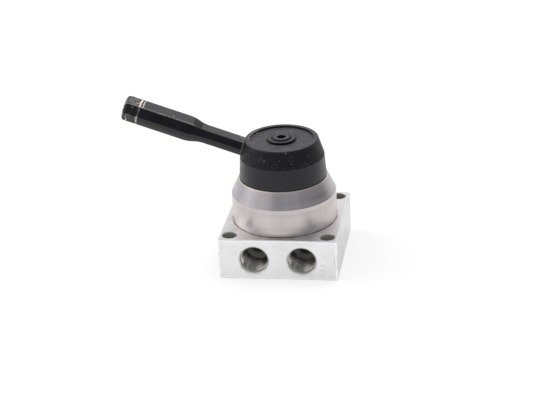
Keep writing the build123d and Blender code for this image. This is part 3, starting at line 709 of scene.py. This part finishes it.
def thread_tree():
    """A ridge on a helix at each point, turned to the direction that the point's attribute gives."""
    tree = bpy.data.node_groups.new("port_thread", "GeometryNodeTree")
    face = tree.interface
    face.new_socket(name="Geometry", in_out="INPUT", socket_type="NodeSocketGeometry")
    for label in ("Radius", "Pitch", "Depth", "Start", "Length"):
        face.new_socket(name=label, in_out="INPUT", socket_type="NodeSocketFloat")
    face.new_socket(name="Material", in_out="INPUT", socket_type="NodeSocketMaterial")
    face.new_socket(name="Geometry", in_out="OUTPUT", socket_type="NodeSocketGeometry")
    g = Graph(tree)
    source = tree.nodes.new("NodeGroupInput").outputs
    turns = g.math("DIVIDE", source["Length"], source["Pitch"])
    helix = g.add("GeometryNodeCurveSpiral", Resolution=56, Rotations=turns, Start_Radius=source["Radius"],
                  End_Radius=source["Radius"], Height=source["Length"])
    upright = g.add("GeometryNodeSetCurveNormal", {"mode": "Z_UP"}, Curve=helix.outputs[0])
    place = g.add("GeometryNodeInputPosition").outputs[0]
    outward = g.vector("NORMALIZE", g.vector("MULTIPLY", place, (1.0, 1.0, 0.0)))
    share = g.add("GeometryNodeSplineParameter").outputs["Factor"]
    sink = g.times(g.ramp(share, 0.06, 0.0), source["Depth"])
    led = g.add("GeometryNodeSetPosition", Geometry=upright.outputs[0], Offset=g.vector("SCALE", outward, sink))
    ridge = g.add("GeometryNodeCurveToMesh", Curve=led.outputs[0], Profile_Curve=thread_profile(g, source),
                  Fill_Caps=True)
    sunk = g.add("ShaderNodeCombineXYZ", Z=source["Start"])
    moved = g.add("GeometryNodeTransform", Geometry=ridge.outputs[0], Translation=sunk.outputs[0])
    facing = g.add("GeometryNodeInputNamedAttribute", {"data_type": "FLOAT_VECTOR"}, Name="facing")
    turn = g.add("FunctionNodeAlignRotationToVector", {"axis": "Z"}, Vector=facing.outputs[0])
    copies = g.add("GeometryNodeInstanceOnPoints", Points=source["Geometry"], Instance=moved.outputs[0],
                   Rotation=turn.outputs[0])
    real = g.add("GeometryNodeRealizeInstances", Geometry=copies.outputs[0])
    done = g.add("GeometryNodeSetMaterial", Geometry=real.outputs[0], Material=source["Material"])
    g.join(done.outputs[0], tree.nodes.new("NodeGroupOutput").inputs[0])
    return tree


def thread_profile(g, source):
    """The ridge's section: a V with a blunt crest, its root just inside the wall."""
    shares = ((-0.06, -0.49), (0.82, -0.13), (1.0, 0.0), (0.82, 0.13), (-0.06, 0.49))    # of depth and pitch
    line = g.add("GeometryNodeMeshLine", {"mode": "OFFSET"}, Count=len(shares))
    place = g.add("GeometryNodeIndexSwitch", {"data_type": "VECTOR"},
                  Index=g.add("GeometryNodeInputIndex").outputs[0])
    while len(place.index_switch_items) < len(shares):
        place.index_switch_items.new()
    for number, (depth_share, pitch_share) in enumerate(shares):
        point = g.add("ShaderNodeCombineXYZ", X=g.times(source["Depth"], depth_share),
                      Y=g.times(source["Pitch"], pitch_share))
        g.join(point.outputs[0], place.inputs[number + 1])
    put = g.add("GeometryNodeSetPosition", Geometry=line.outputs[0], Position=place.outputs[0])
    curve = g.add("GeometryNodeMeshToCurve", Mesh=put.outputs[0])
    return g.add("GeometryNodeSetSplineCyclic", Geometry=curve.outputs[0], Cyclic=True).outputs[0]


def set_input(modifier, label, value):
    """Sets a geometry tree's input by its label."""
    item = next(i for i in modifier.node_group.interface.items_tree if i.name == label and i.in_out == "INPUT")
    modifier[item.identifier] = value


def made_real(work, name):
    """The evaluated mesh of an object with a geometry tree, as a plain object; the working object goes."""
    bpy.context.view_layer.update()
    evaluated = work.evaluated_get(bpy.context.evaluated_depsgraph_get())
    mesh = bpy.data.meshes.new_from_object(evaluated)
    bpy.data.objects.remove(work)
    mesh.name = name
    return linked(name, mesh)


def linked(name, data):
    """An object in the scene."""
    thing = bpy.data.objects.new(name, data)
    bpy.context.scene.collection.objects.link(thing)
    return thing


# ---- Pieces ----

def dress(node, *materials):
    """Gives a carried-over node its materials."""
    piece = frame["nodes"][node]
    piece.data.materials.clear()
    for material in materials:
        piece.data.materials.append(material)
    return piece


class VALVE_OT_block(bpy.types.Operator):
    """Finish the valve block in milled aluminium"""
    bl_idname = "valve.block"
    bl_label = "Valve block"

    def execute(self, context):
        dress("valve_block", milled_aluminium(context.scene.valve_metal))
        return {"FINISHED"}


class VALVE_OT_threads(bpy.types.Operator):
    """Cut the threads of the four ports"""
    bl_idname = "valve.threads"
    bl_label = "Port threads"

    def execute(self, context):
        sizes = context.scene.valve_thread
        mouths = [Vector(port["pos_m"]) + Vector(port["axis"]) * PORT_LENGTH / 2 for port in PORTS]
        mesh = bpy.data.meshes.new("port_marks")
        mesh.from_pydata(mouths, [], [])
        attribute = mesh.attributes.new("facing", "FLOAT_VECTOR", "POINT")
        for item, port in zip(attribute.data, PORTS):
            item.vector = -Vector(port["axis"])
        work = linked("port_marks", mesh)
        modifier = work.modifiers.new("threads", "NODES")
        modifier.node_group = thread_tree()
        inputs = {
            "Radius": PORT_R,
            "Pitch": sizes.pitch,
            "Depth": sizes.depth,
            "Start": sizes.start,
            "Length": PORT_LENGTH - sizes.start - sizes.pitch / 2,
            "Material": thread_aluminium(context.scene.valve_metal),
        }
        for label, value in inputs.items():
            set_input(modifier, label, value)
        piece = made_real(work, "port_threads")
        if not piece.data.polygons:
            raise RuntimeError("the port threads came out empty")
        piece.data.shade_smooth()
        piece.data.set_sharp_from_angle(angle=THREAD_CREASE)
        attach(piece, BODY_OF["valve_block"])
        return {"FINISHED"}


class VALVE_OT_bonnet(bpy.types.Operator):
    """Finish the bonnet in turned aluminium"""
    bl_idname = "valve.bonnet"
    bl_label = "Bonnet"

    def execute(self, context):
        dress("bonnet", turned_aluminium(context.scene.valve_metal))
        return {"FINISHED"}


class VALVE_OT_handle(bpy.types.Operator):
    """Finish the hub and the lever in black enamel"""
    bl_idname = "valve.handle"
    bl_label = "Hub and lever"

    def execute(self, context):
        black = context.scene.valve_black
        piece = dress("lever_handle", cast_black(black), band_black(black), lever_black(black))
        band, lever = 1, 2
        for face in piece.data.polygons:
            height = face.center.z
            off_cone = face.center.xy.length - CONE_FOOT_R + (height - BAND_TOP) * CONE_SLOPE
            if height < BAND_TOP:
                face.material_index = band
            elif height > HUB_TOP + 0.2 * MM or off_cone > 0.15 * MM:
                face.material_index = lever
        return {"FINISHED"}


class VALVE_OT_screws(bpy.types.Operator):
    """Finish the clamp collar and the screws in black steel"""
    bl_idname = "valve.screws"
    bl_label = "Collar and screws"

    def execute(self, context):
        steel = black_steel(context.scene.valve_black)
        for node in ("clamp_collar", "lever_screw", "bonnet_screws"):
            dress(node, steel)
        return {"FINISHED"}


class VALVE_OT_inside(bpy.types.Operator):
    """Finish the parts inside the valve"""
    bl_idname = "valve.inside"
    bl_label = "Inner parts"

    def execute(self, context):
        metal = context.scene.valve_metal
        steel = plain_metal("ground_steel", metal.steel_colour, 0.22)
        spring = plain_metal("spring_steel", toned(metal.steel_colour, 0.8), 0.30)
        bronze = plain_metal("sintered_bronze", metal.bronze_colour, 0.45, (2200.0, 2200.0, 2200.0))
        rubber = soft_stuff("black_rubber", (0.012, 0.012, 0.013), 0.62)
        plastic = soft_stuff("white_plastic", (0.78, 0.77, 0.72), 0.4)
        finishes = (
            (steel, ("seat_plate", "spindle", "seat_pins", "stop_pin", "detent_ball_1", "detent_ball_2")),
            (spring, ("rotor_spring", "detent_spring_1", "detent_spring_2")),
            (bronze, ("shaft_bush",)),
            (rubber, ("seat_seals", "spindle_seal", "bonnet_seal")),
            (plastic, ("rotor_disc", "thrust_washer")),
        )
        for material, nodes in finishes:
            for node in nodes:
                dress(node, material)
        return {"FINISHED"}


# ---- Stage ----

FLOOR_REACH, FLOOR_Z = 4.0, -0.05 * MM
LAMP_AIM = Vector((0.0, 0.0, 0.03))
LAMPS = (           # name, place, side and watts
    ("key_lamp", (-0.9, 0.15, 0.8), 0.9, 4.5),
    ("top_lamp", (0.33, 0.36, 1.0), 0.5, 2.2),
    ("edge_lamp", (0.33, -0.31, 1.0), 0.2, 0.5),
)


def floor_material(stage):
    """A white floor that keeps the object's shadow: its glow is only for rays that look at it."""
    material = bpy.data.materials.new("studio_floor")
    g = fresh_graph(material)
    place = g.add("ShaderNodeTexCoord").outputs["Object"]
    grey = g.ramp(g.noise(place, 3.0), 0.3, 0.7, 0.44, 0.46)
    diffuse = g.add("ShaderNodeBsdfDiffuse", Color=grey)
    rays = g.add("ShaderNodeLightPath").outputs
    seen = g.most(rays["Is Camera Ray"], rays["Is Glossy Ray"], rays["Is Transmission Ray"])
    glow = g.add("ShaderNodeEmission", Color=rgba(EVEN), Strength=g.times(seen, stage.floor_glow))
    both = g.add("ShaderNodeAddShader")
    g.join(diffuse.outputs[0], both.inputs[0])
    g.join(glow.outputs[0], both.inputs[1])
    g.add("ShaderNodeOutputMaterial", Surface=both.outputs[0])
    return material


def world_light(stage):
    """An even light for diffuse rays. Glossy rays see a white backdrop behind and to the left, dimmer at its
    low ends, a darker room with a bright ceiling on the camera's side, and a dark flag high on the right."""
    world = bpy.data.worlds.new("studio")
    bpy.context.scene.world = world
    g = fresh_graph(world)
    way = g.add("ShaderNodeTexCoord").outputs["Generated"]
    az = stage.azimuth
    front = g.vector("DOT_PRODUCT", way, (math.sin(az), -math.cos(az), 0.0))
    side = g.vector("DOT_PRODUCT", way, (math.cos(az), math.sin(az), 0.0))
    height = g.parts(way)[2]
    ends = g.times(g.ramp(g.size(side), 0.25, 0.8), g.ramp(height, 0.34, 0.12))
    backdrop = g.ramp(ends, 0.0, 1.0, stage.backdrop_level, stage.backdrop_level * 0.85)
    room = g.ramp(height, 0.30, 0.52, stage.room_level, stage.ceiling_level)
    in_room = g.times(g.ramp(front, -0.6, -0.2), g.ramp(side, -0.65, -0.36))
    mirrored = g.blend(in_room, g.vector("SCALE", stage.backdrop, backdrop),
                       g.vector("SCALE", stage.room_tint, room))
    flag = g.times(g.ramp(side, 0.40, 0.49), g.ramp(height, 0.58, 0.66))
    mirrored = g.vector("SCALE", mirrored, g.less(1.0, g.times(flag, 0.75)))
    rays = g.add("ShaderNodeLightPath").outputs
    even = g.blend(rays["Is Diffuse Ray"], stage.backdrop, toned(stage.backdrop, stage.ambient))
    light = g.add("ShaderNodeBackground", Color=g.blend(rays["Is Glossy Ray"], even, mirrored), Strength=1.0)
    g.add("ShaderNodeOutputWorld", Surface=light.outputs[0])


def soft_lamp(name, place, side, watts):
    """A square soft lamp that looks at the valve."""
    lamp = bpy.data.lights.new(name, "AREA")
    lamp.size = side
    lamp.energy = watts
    holder = linked(name, lamp)
    holder.location = place
    holder.rotation_euler = (LAMP_AIM - Vector(place)).to_track_quat("-Z", "Y").to_euler()


def camera(stage):
    """The camera, with its roll."""
    data = bpy.data.cameras.new("view")
    data.lens = stage.lens
    data.sensor_width = 36.0
    data.clip_start = 10 * MM
    az, el = stage.azimuth, stage.elevation
    back = Vector((math.sin(az) * math.cos(el), -math.cos(az) * math.cos(el), math.sin(el)))
    right = Vector((math.cos(az), math.sin(az), 0.0))
    turned = Matrix.Rotation(stage.roll, 3, back)
    axes = Matrix((turned @ right, turned @ back.cross(right), back)).transposed()
    holder = linked("view", data)
    holder.matrix_world = Matrix.Translation(Vector(stage.aim) + back * stage.distance) @ axes.to_4x4()
    bpy.context.scene.camera = holder


class VALVE_OT_stage(bpy.types.Operator):
    """Set up the floor, the soft lights and the camera"""
    bl_idname = "valve.stage"
    bl_label = "Studio"

    def execute(self, context):
        stage = context.scene.valve_stage
        mesh = bpy.data.meshes.new("studio_floor")
        corners = [(x * FLOOR_REACH, y * FLOOR_REACH, FLOOR_Z) for x, y in ((-1, -1), (1, -1), (1, 1), (-1, 1))]
        mesh.from_pydata(corners, [], [(0, 1, 2, 3)])
        mesh.materials.append(floor_material(stage))
        linked("studio_floor", mesh)
        world_light(stage)
        for lamp in LAMPS:
            soft_lamp(*lamp)
        camera(stage)
        context.scene.view_settings.view_transform = "Standard"
        return {"FINISHED"}


# ---- Add-on ----

OPERATORS = (VALVE_OT_block, VALVE_OT_threads, VALVE_OT_bonnet, VALVE_OT_handle, VALVE_OT_screws,
             VALVE_OT_inside, VALVE_OT_stage)
SETTINGS = {"valve_metal": VALVE_PG_metal, "valve_black": VALVE_PG_black, "valve_thread": VALVE_PG_thread,
            "valve_stage": VALVE_PG_stage}


class VALVE_PT_finish(bpy.types.Panel):
    """Buttons and settings of the valve's finish"""
    bl_idname = "VALVE_PT_finish"
    bl_label = "Valve finish"
    bl_space_type = "VIEW_3D"
    bl_region_type = "UI"
    bl_category = "Valve"

    def draw(self, context):
        for operator in OPERATORS:
            self.layout.operator(operator.bl_idname)
        for name, group in SETTINGS.items():
            box = self.layout.box()
            for key in group.__annotations__:
                box.prop(getattr(context.scene, name), key)


def register():
    """Registers the settings, the operators and the panel."""
    for name, group in SETTINGS.items():
        bpy.utils.register_class(group)
        setattr(bpy.types.Scene, name, bpy.props.PointerProperty(type=group))
    for item in (*OPERATORS, VALVE_PT_finish):
        bpy.utils.register_class(item)


def unregister():
    """Takes away what register added."""
    for item in reversed((*OPERATORS, VALVE_PT_finish)):
        bpy.utils.unregister_class(item)
    for name, group in SETTINGS.items():
        delattr(bpy.types.Scene, name)
        bpy.utils.unregister_class(group)


def main():
    """Registers the add-on and makes every piece."""
    register()
    for operator in OPERATORS:
        getattr(bpy.ops.valve, operator.bl_idname.split(".")[1])()


if __name__ == "__main__":
    main()
